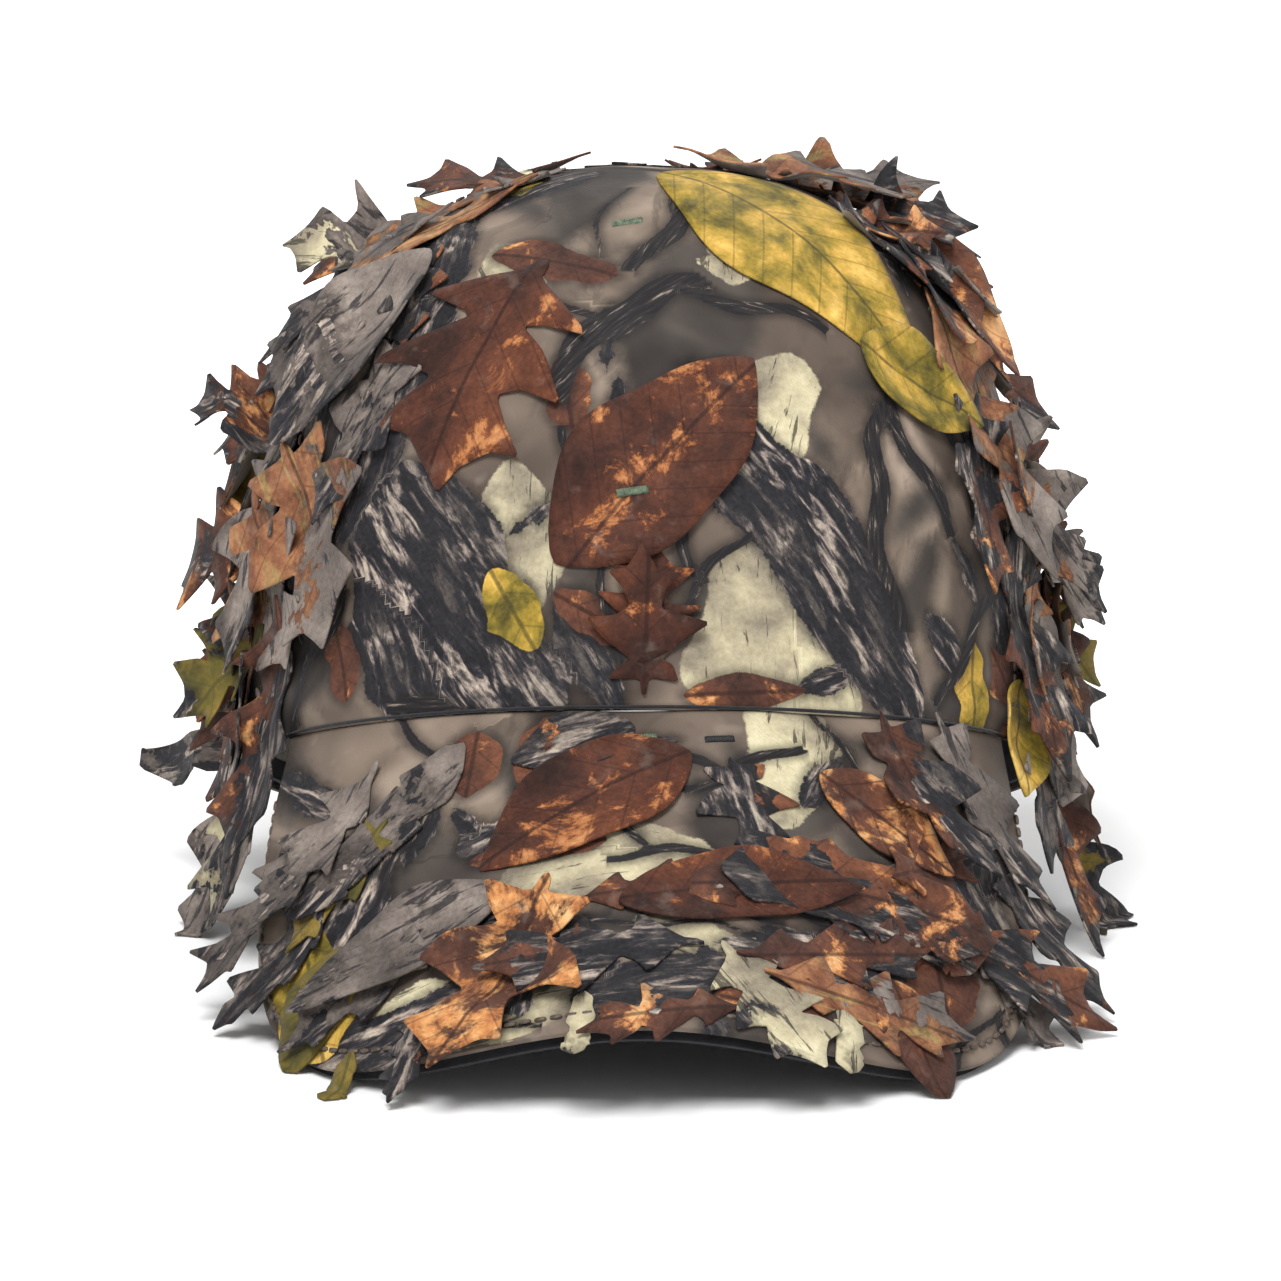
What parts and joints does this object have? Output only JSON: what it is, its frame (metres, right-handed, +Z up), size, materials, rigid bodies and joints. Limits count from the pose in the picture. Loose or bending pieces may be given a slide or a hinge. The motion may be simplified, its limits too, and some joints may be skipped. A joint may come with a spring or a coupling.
{
  "type": "peaked cap",
  "caption": "Peaked cap in leaf-print camouflage cloth with die-cut cloth leaves tacked over its crown and peak, and a hook-and-loop strap across the gap at the back.",
  "frame": {"origin": "on the surface the cap stands on, under the middle of its bounding box", "axes": "+Z up, -Y the way the peak points, +X to the right as seen from in front of the peak; the cap stands on the two corners of its peak and the back of its rim"},
  "size_m": [0.2046, 0.2762, 0.1656],
  "materials": {
    "buckram": "stiff open-weave lining",
    "hook_tape": "nylon hooks on woven tape",
    "label_cloth": "blank satin-woven label",
    "leaf_bark": "die-cut printed cloth leaf, charcoal bark print",
    "leaf_brown": "die-cut printed cloth leaf, reddish brown with lighter veins",
    "leaf_cream": "die-cut printed cloth leaf, pale cream print",
    "leaf_grey": "die-cut printed cloth leaf, grey bark print",
    "leaf_olive": "die-cut printed cloth leaf, olive and gold",
    "loop_tape": "napped nylon loops on woven tape",
    "peak_board": "moulded sheet",
    "peak_under_cloth": "dark plain twill",
    "printed_cloth": "smooth low-sheen polyester twill with a woodland print of bark, branches and leaves",
    "rivet_metal": "pressed rivet",
    "seam_tape": "folded woven tape, stitched along both edges",
    "sweatband_cloth": "soft brushed cotton"
  },
  "bodies": {
    "cap": {"button_rivet": "rivet_metal", "care_label": "label_cloth", "front_backing": "buckram", "front_panel": "printed_cloth", "leaf_back_left_high": "leaf_brown", "leaf_back_right_high": "leaf_bark", "leaf_brow": "leaf_brown", "leaf_front_brown": "leaf_brown", "leaf_front_gold": "leaf_olive", "leaf_front_oak": "leaf_brown", "leaf_left_dark": "leaf_bark", "leaf_left_grey": "leaf_grey", "leaf_left_long": "leaf_brown", "leaf_left_low": "leaf_cream", "leaf_left_maple": "leaf_brown", "leaf_left_out": "leaf_brown", "leaf_left_rear_high": "leaf_grey", "leaf_left_rear_low": "leaf_olive", "leaf_left_strip": "leaf_grey", "leaf_peak_bark": "leaf_bark", "leaf_peak_centre": "leaf_brown", "leaf_peak_corner": "leaf_olive", "leaf_peak_curled": "leaf_brown", "leaf_peak_dark": "leaf_brown", "leaf_peak_gold": "leaf_brown", "leaf_peak_grey": "leaf_bark", "leaf_peak_olive": "leaf_olive", "leaf_peak_raised": "leaf_grey", "leaf_peak_rounded": "leaf_brown", "leaf_peak_tip": "leaf_cream", "leaf_right_bark": "leaf_grey", "leaf_right_dark": "leaf_bark", "leaf_right_hollow": "leaf_bark", "leaf_right_long": "leaf_brown", "leaf_right_rear_high": "leaf_grey", "leaf_right_rear_low": "leaf_brown", "leaf_right_small": "leaf_brown", "leaf_top_back_left": "leaf_brown", "leaf_top_back_right": "leaf_grey", "leaf_top_cream": "leaf_cream", "leaf_top_oak": "leaf_brown", "left_back_panel": "printed_cloth", "left_side_panel": "printed_cloth", "loop_patch": "loop_tape", "loop_strap": "printed_cloth", "opening_binding": "seam_tape", "peak_board": "peak_board", "peak_top_cover": "printed_cloth", "peak_under_cover": "peak_under_cloth", "right_back_panel": "printed_cloth", "right_side_panel": "printed_cloth", "seam_tape_back": "seam_tape", "seam_tape_left_side": "seam_tape", "seam_tape_left_temple": "seam_tape", "seam_tape_right_side": "seam_tape", "seam_tape_right_temple": "seam_tape", "sweatband": "sweatband_cloth", "top_button": "printed_cloth"},
    "hook_strap": {"hook_strap": "printed_cloth", "hook_patch": "hook_tape"}
  },
  "joints": [
    {"name": "strap_peel", "type": "hinge", "parent": "cap", "child": "hook_strap", "pos_m": [-0.06226, 0.10291, 0.0196], "axis": [0, 0.3417, 0.9398], "range_deg": [0, 70]}
  ]
}
